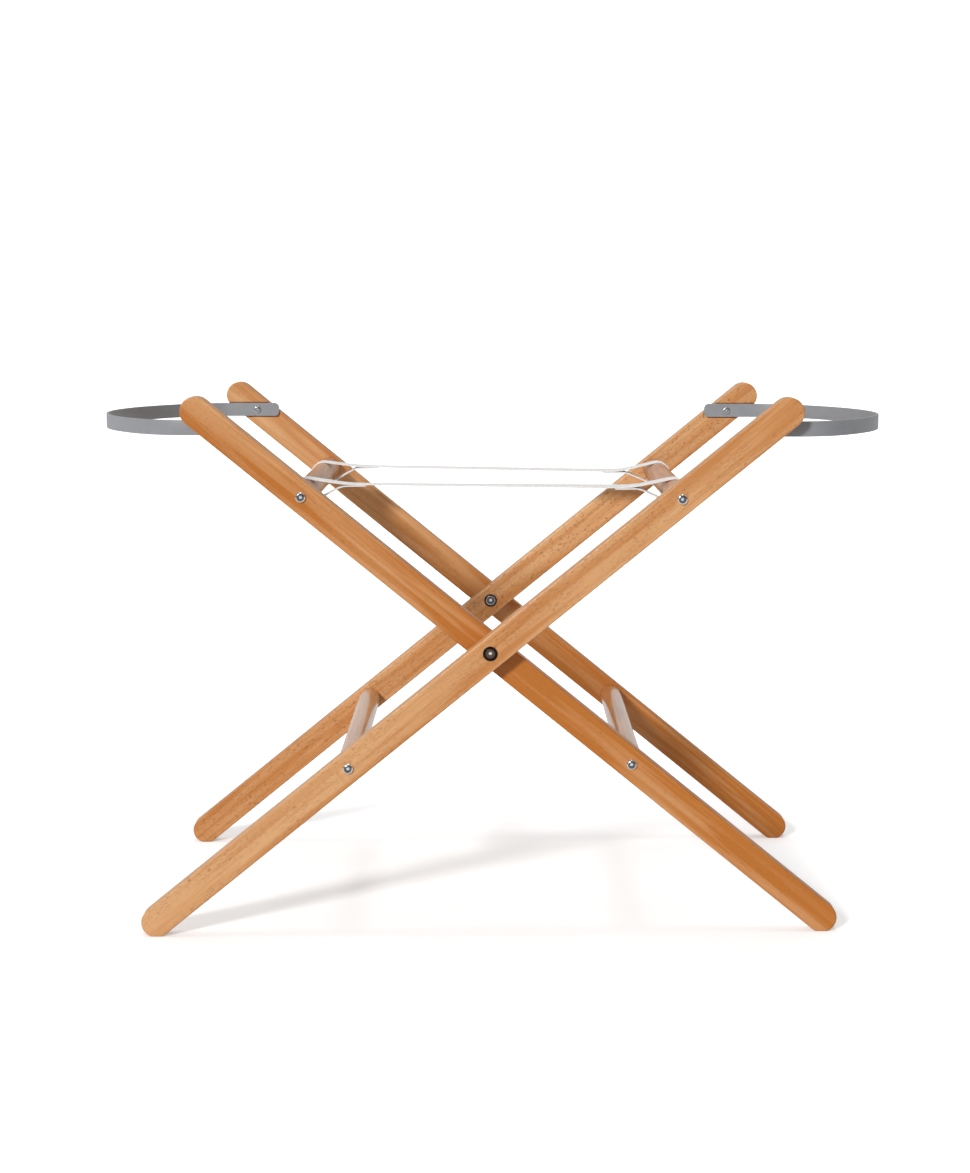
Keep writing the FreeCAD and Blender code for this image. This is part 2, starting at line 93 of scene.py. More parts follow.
def extent(node):
    low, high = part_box(node)
    return high - low


# Places read from the frame.
PIVOT = Vector(frame["joints"][0]["pos_m"])
UPPER_RAIL = middle("upper_rail_b")
LOWER_RAIL = middle("lower_rail_b")
RAIL_RADIUS = extent("upper_rail_b").x / 2
LEG_SLOPE = math.atan2(UPPER_RAIL.z - LOWER_RAIL.z, UPPER_RAIL.x - LOWER_RAIL.x)
LEG_THICKNESS = extent("leg_outer_b").y
HOOP = {tag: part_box(f"hoop_{tag}") for tag in SIDES}
HOOP_SCREW = {tag: middle(f"hoop_screws_{tag}") for tag in SIDES}


# ---------------------------------------------------------------- settings

class WoodSettings(bpy.types.PropertyGroup):
    """Clear-lacquered beech."""
    light_colour: FloatVectorProperty(
        name="Light wood", description="The palest wood between the growth rings",
        subtype="COLOR", size=3, min=0, max=1, default=(0.66, 0.36, 0.165))
    deep_colour: FloatVectorProperty(
        name="Deep wood", description="The warmer wood of the growth rings",
        subtype="COLOR", size=3, min=0, max=1, default=(0.46, 0.150, 0.022))
    fleck_colour: FloatVectorProperty(
        name="Flecks", description="The short dark rays that mark beech",
        subtype="COLOR", size=3, min=0, max=1, default=(0.18, 0.062, 0.018))
    leg_width: FloatProperty(
        name="Leg width", description="Width of a leg bar, for its worn edges",
        unit="LENGTH", default=30 * MM)
    # The near-black ring round the pivot is painted shade inside the counterbores.
    bore_radius: FloatProperty(
        name="Bore radius", description="How far the dark shadowed end grain round the pivot reaches",
        unit="LENGTH", default=7.55 * MM)
    bore_colour: FloatVectorProperty(
        name="Bore", description="The shadowed end grain inside the pivot's counterbores",
        subtype="COLOR", size=3, min=0, max=1, default=(0.030, 0.017, 0.010))
    # The paler edge is partly wear and partly a painted highlight along the arris.
    arris_radius: FloatProperty(
        name="Edge radius", description="How far the worn edge of a leg reaches",
        unit="LENGTH", default=1.6 * MM)


class HoopSettings(bpy.types.PropertyGroup):
    """Bent steel band at each end of the stand."""
    band_thickness: FloatProperty(
        name="Band thickness", description="Thickness of the flat steel",
        unit="LENGTH", default=3 * MM)
    corner_radius: FloatProperty(
        name="Corner radius", description="Bend radius at the hoop's corners, to the middle of the band",
        unit="LENGTH", default=62 * MM)
    straight: FloatProperty(
        name="Straight beyond the screw", description="From the screw to where the corner bend starts",
        unit="LENGTH", default=29 * MM)
    short_end: FloatProperty(
        name="Short end", description="How much shorter the front end is than the back one",
        unit="LENGTH", default=10 * MM)
    tab_round: FloatProperty(
        name="Tab rounding", description="Rounding of the two corners of each end",
        unit="LENGTH", default=5.5 * MM)
    edge_round: FloatProperty(
        name="Edge rounding", description="Rounding of the rolled edges of the band",
        unit="LENGTH", default=0.55 * MM)
    colour: FloatVectorProperty(
        name="Powder coat", description="Colour of the powder coat",
        subtype="COLOR", size=3, min=0, max=1, default=(0.256, 0.261, 0.276))


class StrapSettings(bpy.types.PropertyGroup):
    """Webbing carrying straps."""
    width: FloatProperty(
        name="Width", description="Width of the webbing", unit="LENGTH", default=25 * MM)
    thickness: FloatProperty(
        name="Thickness", description="Thickness of the webbing", unit="LENGTH", default=1.4 * MM)
    rise: FloatProperty(
        name="Rise", description="Height of the straight run above the middle of the rails",
        unit="LENGTH", default=5.4 * MM)
    knee: FloatProperty(
        name="Knee", description="From the middle of a rail to where the strap bends level",
        unit="LENGTH", default=42 * MM)
    join: FloatProperty(
        name="Join", description="From the middle of a rail to where the strap's end meets the run",
        unit="LENGTH", default=36 * MM)
    lap: FloatProperty(
        name="Lap", description="Length of the sewn lap", unit="LENGTH", default=24 * MM)
    selvedge: FloatProperty(
        name="Selvedge", description="Rounding of the webbing's edges", unit="LENGTH", default=0.45 * MM)
    stitch_pitch: FloatProperty(
        name="Stitch pitch", description="From one stitch to the next", unit="LENGTH", default=2.6 * MM)
    thread_radius: FloatProperty(
        name="Thread radius", description="Half the thickness of the sewing thread",
        unit="LENGTH", default=0.26 * MM)
    seam_start: FloatProperty(
        name="Seam start", description="From the join to the near side of the sewn box",
        unit="LENGTH", default=4 * MM)
    seam_end: FloatProperty(
        name="Seam end", description="From the join to the far side of the sewn box",
        unit="LENGTH", default=12.5 * MM)
    seam_inset: FloatProperty(
        name="Seam inset", description="From the webbing's edges to the sewn box",
        unit="LENGTH", default=3 * MM)
    colour: FloatVectorProperty(
        name="Webbing", description="Colour of the webbing",
        subtype="COLOR", size=3, min=0, max=1, default=(0.90, 0.895, 0.88))


class StageSettings(bpy.types.PropertyGroup):
    """Floor, light and camera."""
    camera_distance: FloatProperty(
        name="Camera distance", description="From the camera to the middle of the stand, along Y",
        unit="LENGTH", default=2.351)
    camera_side: FloatProperty(
        name="Camera side", description="How far the camera stands to the right",
        unit="LENGTH", default=1.35 * MM)
    camera_height: FloatProperty(
        name="Camera height", description="Height of the camera", unit="LENGTH", default=0.6273)
    camera_tilt: FloatProperty(
        name="Camera tilt", description="How far the camera looks down",
        subtype="ANGLE", default=0.1284)
    camera_turn: FloatProperty(
        name="Camera turn", description="How far the camera turns to the left",
        subtype="ANGLE", default=0.0031)
    focal_length: FloatProperty(
        name="Focal length", description="Focal length in millimetres on a 36 mm sensor",
        unit="CAMERA", default=67.88)
    key_strength: FloatProperty(
        name="Key light", description="Strength of the main lamp", default=2.55)
    key_size: FloatProperty(
        name="Key size", description="How wide the main lamp looks from the stand",
        subtype="ANGLE", default=math.radians(9))
    key_place: FloatVectorProperty(
        name="Key place", description="Direction from the stand to the main lamp",
        subtype="DIRECTION", size=3, default=(-1.05, -2.1, 1.05))
    top_strength: FloatProperty(
        name="Top light", description="Strength of the lamp overhead", default=0.42)
    top_size: FloatProperty(
        name="Top size", description="How wide the overhead lamp looks from the stand",
        subtype="ANGLE", default=math.radians(14))
    rear_light: FloatProperty(
        name="Rear light", description="Strength of the white behind the stand", default=0.62)
    overhead_light: FloatProperty(
        name="Overhead light", description="Strength of the white overhead", default=0.25)
    room_light: FloatProperty(
        name="Room light", description="Strength of the light from all sides", default=0.06)
    background: FloatProperty(
        name="Background", description="How bright the backdrop looks to the camera", default=1.1)
    floor_glow: FloatProperty(
        name="Floor glow", description="How much the floor is lifted towards plain white", default=0.335)
    rear_glow: FloatProperty(
        name="Rear glow", description="How much more the floor is lifted behind the stand", default=0.45)
    floor_colour: FloatVectorProperty(
        name="Floor", description="Colour of the floor",
        subtype="COLOR", size=3, min=0, max=1, default=(0.88, 0.88, 0.88))


# ---------------------------------------------------------------- node helpers

def feed(tree, made, inputs):
    """Give a node its inputs: a socket is linked, and a value is set."""
    for name, value in inputs.items():
        if isinstance(value, bpy.types.NodeSocket):
            tree.links.new(value, made.inputs[name])
        else:
            made.inputs[name].default_value = value


def node(tree, kind, inputs=None, **settings):
    """A new shader node."""
    made = tree.nodes.new("ShaderNode" + kind)
    for name, setting in settings.items():
        setattr(made, name, setting)
    feed(tree, made, inputs or {})
    return made


def calc(tree, operation, first, second=0.0, clamp=False):
    """The result of one sum on two values."""
    made = node(tree, "Math", {0: first, 1: second}, operation=operation, use_clamp=clamp)
    return made.outputs[0]


def ramp(tree, value, start, end):
    """0 up to start, 1 past end, smooth between. A falling ramp has the larger value as its start."""
    made = node(tree, "MapRange", {"Value": value, "From Min": start, "From Max": end},
                interpolation_type="SMOOTHSTEP")
    return made.outputs["Result"]


def stretch(tree, vector, scales):
    return node(tree, "VectorMath", {0: vector, 1: scales}, operation="MULTIPLY").outputs["Vector"]


def noise(tree, vector, scales, detail=2.0, roughness=0.5, distortion=0.0):
    """Smooth noise with so many cells per metre along each axis."""
    made = node(tree, "TexNoise", {
        "Vector": stretch(tree, vector, scales), "Scale": 1.0, "Detail": detail,
        "Roughness": roughness, "Distortion": distortion})
    return made.outputs["Fac"]


def mix(tree, share, first, second):
    """The first colour where share is 0, and the second where it is 1."""
    made = node(tree, "Mix", {0: share, 6: first, 7: second}, data_type="RGBA")
    return made.outputs[2]


SOCKETS = {"vector": "NodeSocketVector", "value": "NodeSocketFloat", "colour": "NodeSocketColor"}


def new_group(name, inputs, outputs):
    """A node group with its named sockets, and its input and output nodes."""
    tree = bpy.data.node_groups.new(name, "ShaderNodeTree")
    for label, kind in inputs:
        tree.interface.new_socket(name=label, in_out="INPUT", socket_type=SOCKETS[kind])
    for label, kind in outputs:
        tree.interface.new_socket(name=label, in_out="OUTPUT", socket_type=SOCKETS[kind])
    return tree, tree.nodes.new("NodeGroupInput"), tree.nodes.new("NodeGroupOutput")


def give(tree, output, **values):
    """Put a group's results out under their names."""
    for label, socket in values.items():
        tree.links.new(socket, output.inputs[label])


def use(tree, group, inputs):
    """Place a node group and return its outputs."""
    made = node(tree, "Group", node_tree=group)
    feed(tree, made, inputs)
    return made.outputs


def built_once(build):
    """Build a node group when it is first asked for, and return that same one from then on."""
    name = build.__name__.replace("_", " ").capitalize()
    return lambda: bpy.data.node_groups.get(name) or build(name)


def new_material(name):
    """An empty material with a Principled BSDF wired to its output."""
    material = bpy.data.materials.new(name)
    material.use_nodes = True
    tree = material.node_tree
    tree.nodes.clear()
    shader = tree.nodes.new("ShaderNodeBsdfPrincipled")
    output = tree.nodes.new("ShaderNodeOutputMaterial")
    tree.links.new(shader.outputs[0], output.inputs[0])
    return material, tree, shader


def relief(tree, shader, height, strength, distance):
    """Fine relief on a material. Distance is how deep it is, in metres."""
    bump = node(tree, "Bump", {"Height": height, "Strength": strength, "Distance": distance})
    tree.links.new(bump.outputs["Normal"], shader.inputs["Normal"])


def rgba(colour):
    return (*colour, 1.0)


# ---------------------------------------------------------------- shared effects

@built_once
def beech_grain(name):
    """Figure, pores and flecks of beech. Board X runs along the grain, and Z across a leg's face."""
    tree, inputs, outputs = new_group(
        name,
        [("Board", "vector"), ("Light", "colour"), ("Deep", "colour"), ("Fleck", "colour"),
         ("Warmth", "value"), ("Flecking", "value"), ("Marks", "value")],
        [("Colour", "colour"), ("Roughness", "value"), ("Height", "value")])
    board = inputs.outputs["Board"]
    slow = noise(tree, board, (3.5, 26, 26), detail=2.0)
    rings = noise(tree, board, (6, 150, 150), detail=3.0, roughness=0.55, distortion=0.35)
    pores = noise(tree, board, (90, 2600, 2600), detail=2.0)
    rays = noise(tree, board, (180, 2300, 1500), detail=1.0)
    patches = noise(tree, board, (14, 60, 60), detail=1.0)
    blots = noise(tree, board, (190, 430, 430), detail=1.5, roughness=0.6, distortion=1.5)

    figure = calc(tree, "ADD", calc(tree, "MULTIPLY", ramp(tree, slow, 0.34, 0.68), 0.55),
                  calc(tree, "MULTIPLY", ramp(tree, rings, 0.36, 0.66), 0.45))
    figure = calc(tree, "ADD", figure, inputs.outputs["Warmth"], clamp=True)
    colour = mix(tree, figure, inputs.outputs["Light"], inputs.outputs["Deep"])
    pore = calc(tree, "MULTIPLY", ramp(tree, pores, 0.50, 0.72), 0.16)
    colour = mix(tree, pore, colour, inputs.outputs["Fleck"])
    ray = calc(tree, "MULTIPLY", ramp(tree, rays, 0.56, 0.67), ramp(tree, patches, 0.34, 0.58))
    ray = calc(tree, "MULTIPLY", ray, inputs.outputs["Flecking"])
    colour = mix(tree, ray, colour, inputs.outputs["Fleck"])
    blot = calc(tree, "MULTIPLY", ramp(tree, blots, 0.63, 0.69), inputs.outputs["Marks"])
    colour = mix(tree, blot, colour, inputs.outputs["Fleck"])
    roughness = calc(tree, "ADD", 0.36, calc(tree, "MULTIPLY", pores, 0.14))
    height = calc(tree, "ADD", calc(tree, "MULTIPLY", pores, -0.5), calc(tree, "MULTIPLY", ray, -0.35))
    give(tree, outputs, Colour=colour, Roughness=roughness, Height=height)
    return tree


@built_once
def worn_arris(name):
    """1 along the rounded edges of a flat bar, 0 on its faces. The paler wood it puts on the edges is
    partly wear and partly a painted highlight along the arris.
    """
    tree, inputs, outputs = new_group(
        name,
        [("Board", "vector"), ("Half width", "value"), ("Half thickness", "value"), ("Reach", "value")],
        [("Mask", "value")])
    parts = node(tree, "SeparateXYZ", {0: inputs.outputs["Board"]}).outputs
    reach = inputs.outputs["Reach"]
    sides = []
    for axis, half in (("Z", "Half width"), ("Y", "Half thickness")):
        inner = calc(tree, "SUBTRACT", inputs.outputs[half], reach)
        sides.append(ramp(tree, calc(tree, "ABSOLUTE", parts[axis]), inner, inputs.outputs[half]))
    both = calc(tree, "MULTIPLY", sides[0], sides[1])
    breakup = ramp(tree, noise(tree, inputs.outputs["Board"], (45, 300, 300), detail=3.0), 0.30, 0.62)
    give(tree, outputs, Mask=calc(tree, "MULTIPLY", both, breakup))
    return tree


@built_once
def fine_scratches(name):
    """Hairline scratches and soft smudges for metal and paint."""
    tree, inputs, outputs = new_group(
        name, [("Vector", "vector")], [("Scratch", "value"), ("Smudge", "value")])
    vector = inputs.outputs["Vector"]
    lines = noise(tree, vector, (900, 900, 9000), detail=2.0)
    smudge = noise(tree, vector, (70, 70, 70), detail=3.0)
    give(tree, outputs, Scratch=ramp(tree, lines, 0.52, 0.74), Smudge=smudge)
    return tree


@built_once
def turned_head(name):
    """Masks for a screw's head: the ring between its rim and the key's recess, where a reflection is
    painted, and the recess's floor, where a bright glint is painted.
    """
    tree, inputs, outputs = new_group(
        name, [("Distance", "value"), ("Head radius", "value")], [("Ring", "value"), ("Centre", "value")])
    share = calc(tree, "DIVIDE", inputs.outputs["Distance"], inputs.outputs["Head radius"])
    inside_rim = ramp(tree, share, 0.80, 0.68)
    centre = ramp(tree, share, 0.34, 0.20)
    reflection_ring = calc(tree, "MULTIPLY", inside_rim, calc(tree, "SUBTRACT", 1.0, centre))
    give(tree, outputs, Ring=reflection_ring, Centre=centre)
    return tree


@built_once
def webbing_weave(name):
    """Flat webbing in herringbone columns. Along and Across are metres on the strap."""
    tree, inputs, outputs = new_group(
        name, [("Along", "value"), ("Across", "value"), ("Column", "value"), ("Pick", "value")],
        [("Height", "value"), ("Shade", "value")])
    column = calc(tree, "DIVIDE", inputs.outputs["Across"], inputs.outputs["Column"])
    pick = calc(tree, "DIVIDE", inputs.outputs["Along"], inputs.outputs["Pick"])
    within = calc(tree, "PINGPONG", column, 1.0)
    slanted = calc(tree, "ADD", pick, within)
    yarn = calc(tree, "ABSOLUTE", calc(tree, "SINE", calc(tree, "MULTIPLY", slanted, math.pi)))
    valley = calc(tree, "ABSOLUTE", calc(tree, "SINE", calc(tree, "MULTIPLY", column, math.pi)))
    height = calc(tree, "ADD", calc(tree, "MULTIPLY", yarn, 0.6), calc(tree, "MULTIPLY", valley, 0.4))
    # Shade darkens the valleys between the yarns: painted shade.
    give(tree, outputs, Height=height, Shade=ramp(tree, height, 0.15, 0.75))
    return tree


# ---------------------------------------------------------------- materials

def beech(name, along, centre, cut, wood, warmth=0.0, painted_falloff=0.0, flecking=0.3, marks=0.0, edges=True,
          gloss=0.14):
    """Beech whose grain runs along the direction `along`, which lies in the XZ plane or along Y.

    `cut` numbers the stretch of timber that the piece is cut from, and `painted_falloff` is how much paler
    the piece gets with each metre along it: a painted lighting gradient that leaves its upper end lighter."""
    material, tree, shader = new_material(name)
    place = node(tree, "TexCoord").outputs["Object"]
    if abs(along.y) > 0.5:
        turn = Euler((0, 0, -math.pi / 2))
    else:
        turn = Euler((0, math.atan2(along.z, along.x), 0))
    board = node(tree, "Mapping", {
        "Vector": place, "Rotation": turn, "Location": -(turn.to_matrix() @ centre)}).outputs["Vector"]
    timber = node(tree, "VectorMath", {0: board, 1: BOARD_STEP * cut}, operation="ADD").outputs["Vector"]
    reach = node(tree, "SeparateXYZ", {0: board}).outputs["X"]
    # Painted light: the wood pales towards the piece's upper end, as if lit more there.
    warmth_here = calc(tree, "SUBTRACT", warmth, calc(tree, "MULTIPLY", reach, painted_falloff))
    grain = use(tree, beech_grain(), {
        "Board": timber, "Light": rgba(wood.light_colour), "Deep": rgba(wood.deep_colour),
        "Fleck": rgba(wood.fleck_colour), "Warmth": warmth_here, "Flecking": flecking, "Marks": marks})
    colour = grain["Colour"]
    if edges:
        arris = use(tree, worn_arris(), {
            "Board": board, "Half width": wood.leg_width / 2, "Half thickness": LEG_THICKNESS / 2,
            "Reach": wood.arris_radius})
        # Paler rounded edges: partly wear, partly a painted highlight along the arris.
        colour = mix(tree, calc(tree, "MULTIPLY", arris["Mask"], 0.30), colour, rgba(wood.light_colour))
        # Painted shade: near black inside the pivot's counterbores.
        from_pivot = from_axes(tree, place, [PIVOT])
        counterbore_shade = ramp(tree, from_pivot, wood.bore_radius, wood.bore_radius - 0.4 * MM)
        colour = mix(tree, counterbore_shade, colour, rgba(wood.bore_colour))
    tree.links.new(colour, shader.inputs["Base Color"])
    tree.links.new(grain["Roughness"], shader.inputs["Roughness"])
    shader.inputs["Coat Weight"].default_value = gloss
    shader.inputs["Coat Roughness"].default_value = 0.16
    shader.inputs["Coat IOR"].default_value = 1.5
    shader.inputs["Specular IOR Level"].default_value = 0.18
    relief(tree, shader, grain["Height"], 0.35, 0.00012)
    return material


def from_axes(tree, place, axes):
    """Distance from the nearest of some axes that run along Y."""
    flat = stretch(tree, place, (1, 0, 1))
    nearest = None
    for axis in axes:
        level = (axis.x, 0, axis.z)
        apart = node(tree, "VectorMath", {0: flat, 1: level}, operation="DISTANCE").outputs["Value"]
        nearest = apart if nearest is None else calc(tree, "MINIMUM", nearest, apart)
    return nearest


def metal(name, colour, roughness=0.22, head=None):
    """Plated or turned metal. A screw's `head` is its axes, radius and the colour of the painted reflection
    ring on it; the recess floor gets a painted glint.
    """
    material, tree, shader = new_material(name)
    place = node(tree, "TexCoord").outputs["Object"]
    marks = use(tree, fine_scratches(), {"Vector": place})
    tone = rgba(colour)
    if head:
        axes, radius, reflection_ring = head
        # Painted reflection ring and painted glint in the recess, by distance from the screw's axis.
        rings = use(tree, turned_head(), {"Distance": from_axes(tree, place, axes), "Head radius": radius})
        tone = mix(tree, rings["Ring"], tone, rgba(reflection_ring))
        tone = mix(tree, rings["Centre"], tone, rgba(RECESS_GLINT_COLOUR))
    worn = calc(tree, "MULTIPLY", marks["Smudge"], 0.25)
    dull = node(tree, "HueSaturation", {"Color": tone, "Value": 0.72}).outputs["Color"]
    tree.links.new(mix(tree, worn, tone, dull), shader.inputs["Base Color"])
    shader.inputs["Metallic"].default_value = 1.0
    rough = calc(tree, "ADD", roughness, calc(tree, "MULTIPLY", marks["Scratch"], 0.12))
    tree.links.new(rough, shader.inputs["Roughness"])
    relief(tree, shader, marks["Scratch"], 0.08, 0.00005)
    return material


def powder_coat(name, colour):
    """Satin powder coat: a fine orange peel and faint handling marks."""
    material, tree, shader = new_material(name)
    place = node(tree, "TexCoord").outputs["Object"]
    peel = noise(tree, place, (1100, 1100, 1100), detail=1.5)
    marks = use(tree, fine_scratches(), {"Vector": place})
    pale = tuple(channel * 1.03 for channel in colour)
    dark = tuple(channel * 0.97 for channel in colour)
    tone = mix(tree, ramp(tree, marks["Smudge"], 0.35, 0.68), rgba(dark), rgba(pale))
    tree.links.new(tone, shader.inputs["Base Color"])
    rough = calc(tree, "ADD", 0.36, calc(tree, "MULTIPLY", marks["Smudge"], 0.06))
    tree.links.new(rough, shader.inputs["Roughness"])
    relief(tree, shader, peel, 0.12, 0.00006)
    return material


def plastic(name, colour):
    """Moulded plastic with a faint mottle."""
    material, tree, shader = new_material(name)
    place = node(tree, "TexCoord").outputs["Object"]
    mottle = noise(tree, place, (500, 500, 500), detail=2.0)
    dark = tuple(channel * 0.9 for channel in colour)
    tree.links.new(mix(tree, mottle, rgba(dark), rgba(colour)), shader.inputs["Base Color"])
    shader.inputs["Roughness"].default_value = 0.5
    relief(tree, shader, mottle, 0.1, 0.0001)
    return material


def webbing(name, strap):
    """Woven cotton-white webbing, by the strap's own UV map in metres."""
    material, tree, shader = new_material(name)
    place = node(tree, "UVMap", uv_map="Webbing").outputs["UV"]
    parts = node(tree, "SeparateXYZ", {0: place}).outputs
    weave = use(tree, webbing_weave(), {
        "Along": parts["X"], "Across": parts["Y"], "Column": strap.width / 10, "Pick": 0.0011})
    dark = tuple(channel * 0.80 for channel in strap.colour)
    # The weave's valleys take the darker colour: painted shade between the yarns.
    tree.links.new(mix(tree, weave["Shade"], rgba(dark), rgba(strap.colour)), shader.inputs["Base Color"])
    shader.inputs["Roughness"].default_value = 0.78
    shader.inputs["Sheen Weight"].default_value = 0.25
    shader.inputs["Sheen Roughness"].default_value = 0.4
    relief(tree, shader, weave["Height"], 0.7, 0.00030)
    return material


def thread(name):
    """Twisted sewing thread."""
    material, tree, shader = new_material(name)
    place = node(tree, "TexCoord").outputs["Object"]
    twist = noise(tree, place, (2600, 2600, 2600), detail=1.0)
    dark, pale = (0.52, 0.52, 0.50), (0.78, 0.77, 0.74)
    tree.links.new(mix(tree, twist, rgba(dark), rgba(pale)), shader.inputs["Base Color"])
    shader.inputs["Roughness"].default_value = 0.6
    relief(tree, shader, twist, 0.4, 0.0001)
    return material


# ---------------------------------------------------------------- modelling helpers

def nothing_selected():
    if bpy.context.mode != "OBJECT":
        bpy.ops.object.mode_set(mode="OBJECT")
    bpy.ops.object.select_all(action="DESELECT")


def only(piece):
    nothing_selected()
    piece.select_set(True)
    bpy.context.view_layer.objects.active = piece


def select_faces(piece, wanted):
    """In edit mode, select just the faces that `wanted` picks."""
    shape = bmesh.from_edit_mesh(piece.data)
    for part in (*shape.verts, *shape.edges, *shape.faces):
        part.select = False
    for face in shape.faces:
        if wanted(face):
            face.select_set(True)
    bmesh.update_edit_mesh(piece.data)


def settle(piece):
    """Put the piece's place into its mesh, so that the object sits at the origin."""
    only(piece)
    bpy.ops.object.transform_apply(location=True, rotation=True, scale=True)


def apply_all(piece):
    only(piece)
    for modifier in list(piece.modifiers):
        bpy.ops.object.modifier_apply(modifier=modifier.name)


def smooth(piece, degrees):
    only(piece)
    bpy.ops.object.shade_smooth_by_angle(angle=math.radians(degrees))


def paint(piece, material):
    piece.data.materials.clear()
    piece.data.materials.append(material)


# ---------------------------------------------------------------- operators

class BASKETSTAND_OT_stage(bpy.types.Operator):
    """Floor, soft studio light and camera"""
    bl_idname = "basketstand.stage"
    bl_label = "Stage"

    LAMP_REACH = 3.0            # where the lamps are put, from the origin
    FLOOR_SIZE = 120.0
    REAR = (0.20, 0.60)         # from the rear feet back, where the floor turns white
    WALL = (-0.15, 0.45)        # how far back a direction points, from dim to the rear light
    CEILING = (0.25, 0.80)      # how far up a direction points, from dim to the overhead light

    def execute(self, context):
        stage = context.scene.basket_stage
        self.floor(context, stage)
        self.studio(context, stage)
        self.lamp(context, "key", Vector(stage.key_place), stage.key_strength, stage.key_size)
        self.lamp(context, "top", Vector((0, 0, 1)), stage.top_strength, stage.top_size)
        nothing_selected()
        bpy.ops.object.camera_add(
            location=(stage.camera_side, -stage.camera_distance, stage.camera_height),
            rotation=(math.pi / 2 - stage.camera_tilt, 0, stage.camera_turn))
        camera = context.object
        camera.data.lens = stage.focal_length
        context.scene.camera = camera
        context.scene.view_settings.view_transform = "Standard"
        return {"FINISHED"}

    def lamp(self, context, name, place, strength, size):
        """A distant lamp in the direction `place`. Its light is the same however far off it is put."""
        nothing_selected()
        bpy.ops.object.light_add(type="SUN", location=place.normalized() * self.LAMP_REACH)
        lamp = context.object
        lamp.name = name
        lamp.data.energy = strength
        lamp.data.angle = size
        lamp.rotation_euler = place.to_track_quat("Z", "Y").to_euler()

    def floor(self, context, stage):
        """A pale floor that runs out of sight, and is lifted to white behind the stand."""
        nothing_selected()
        bpy.ops.mesh.primitive_plane_add(size=self.FLOOR_SIZE)
        floor = context.object
        floor.name = "floor"
        material, tree, shader = new_material("studio floor")
        place = node(tree, "TexCoord").outputs["Object"]
        speck = noise(tree, place, (3, 3, 3), detail=2.0)
        dim = tuple(channel * 0.985 for channel in stage.floor_colour)
        tree.links.new(mix(tree, speck, rgba(stage.floor_colour), rgba(dim)), shader.inputs["Base Color"])
        shader.inputs["Roughness"].default_value = 0.9
        shader.inputs["Specular IOR Level"].default_value = 0.0
        shader.inputs["Emission Color"].default_value = (1, 1, 1, 1)
        seen = node(tree, "LightPath").outputs["Is Camera Ray"]
        rear = ramp(tree, node(tree, "SeparateXYZ", {0: place}).outputs["Y"], *self.REAR)
        glow = calc(tree, "ADD", stage.floor_glow, calc(tree, "MULTIPLY", rear, stage.rear_glow))
        tree.links.new(calc(tree, "MULTIPLY", seen, glow), shader.inputs["Emission Strength"])
        paint(floor, material)

    def studio(self, context, stage):
        """White behind and overhead, dim on the side that faces the stand's front."""
        world = bpy.data.worlds.new("studio")
        context.scene.world = world
        world.use_nodes = True
        tree = world.node_tree
        tree.nodes.clear()
        direction = node(tree, "SeparateXYZ", {0: node(tree, "TexCoord").outputs["Generated"]}).outputs
        behind = calc(tree, "MULTIPLY", ramp(tree, direction["Y"], *self.WALL), stage.rear_light)
        overhead = calc(tree, "MULTIPLY", ramp(tree, direction["Z"], *self.CEILING), stage.overhead_light)
        room = calc(tree, "ADD", stage.room_light, calc(tree, "MAXIMUM", behind, overhead))
        seen = node(tree, "LightPath").outputs["Is Camera Ray"]
        strength = calc(tree, "MAXIMUM", room, calc(tree, "MULTIPLY", seen, stage.background))
        sky = node(tree, "Background", {"Color": (1, 1, 1, 1), "Strength": strength})
        tree.links.new(sky.outputs[0], tree.nodes.new("ShaderNodeOutputWorld").inputs[0])


class BASKETSTAND_OT_wood(bpy.types.Operator):
    """Legs and rails in clear-lacquered beech, each cut from its own board"""
    bl_idname = "basketstand.wood"
    bl_label = "Beech legs and rails"

    def execute(self, context):
        wood = context.scene.basket_wood
        # warmth is each leg's own tone; painted_falloff paints each leg paler towards its top, a painted
        # lighting gradient.
        legs = {
            "leg_outer_b": dict(warmth=-0.21, painted_falloff=0.12, flecking=0.55, marks=0.05),
            "leg_inner_b": dict(warmth=-0.12, flecking=0.50, marks=0.80),
            "leg_inner_a": dict(warmth=0.26, painted_falloff=0.22, flecking=0.28, marks=0.0),
            "leg_outer_a": dict(warmth=0.22, painted_falloff=0.9, flecking=0.30, marks=0.10),
        }
        for cut, (name, look) in enumerate(legs.items()):
            side = SIDES[name[-1]]
            along = Vector((side * math.cos(LEG_SLOPE), 0, math.sin(LEG_SLOPE)))
            centre = Vector((PIVOT.x, middle(name).y, PIVOT.z))
            paint(NODES[name], beech(f"beech {name}", along, centre, cut, wood, **look))
        gloss = {"upper": 0.3, "lower": 1.0}
        rails = [(place, tag) for place in gloss for tag in SIDES]
        for cut, (place, tag) in enumerate(rails, start=len(legs)):
            name = f"{place}_rail_{tag}"
            across = Vector((0, 1, 0))
            paint(NODES[name], beech(f"beech {name}", across, middle(name), cut, wood,
                                     edges=False, gloss=gloss[place]))
        return {"FINISHED"}


class BASKETSTAND_OT_hardware(bpy.types.Operator):
    """Screws, pivots, inserts and spacers"""
    bl_idname = "basketstand.hardware"
    bl_label = "Screws and pivots"

    def execute(self, context):
        brass = metal("turned brass", (0.62, 0.42, 0.16), 0.25)
        nylon = plastic("nylon", (0.74, 0.72, 0.66))
        for tag, side in SIDES.items():
            rails = [Vector((side * rail.x, 0, rail.z)) for rail in (UPPER_RAIL, LOWER_RAIL)]
            axes = {"rail_bolts": rails, "hoop_screws": [HOOP_SCREW[tag]],
                    "pivot_sleeve_nut": [PIVOT], "pivot_bolt": [PIVOT]}
            for name, (radius, rim, reflection_ring) in HEADS.items():
                head = (axes[name], radius, reflection_ring)
                paint(NODES[f"{name}_{tag}"], metal(f"{name} {tag} metal", rim, head=head))
            paint(NODES[f"rail_inserts_{tag}"], brass)
            paint(NODES[f"pivot_spacer_{tag}"], nylon)
        return {"FINISHED"}


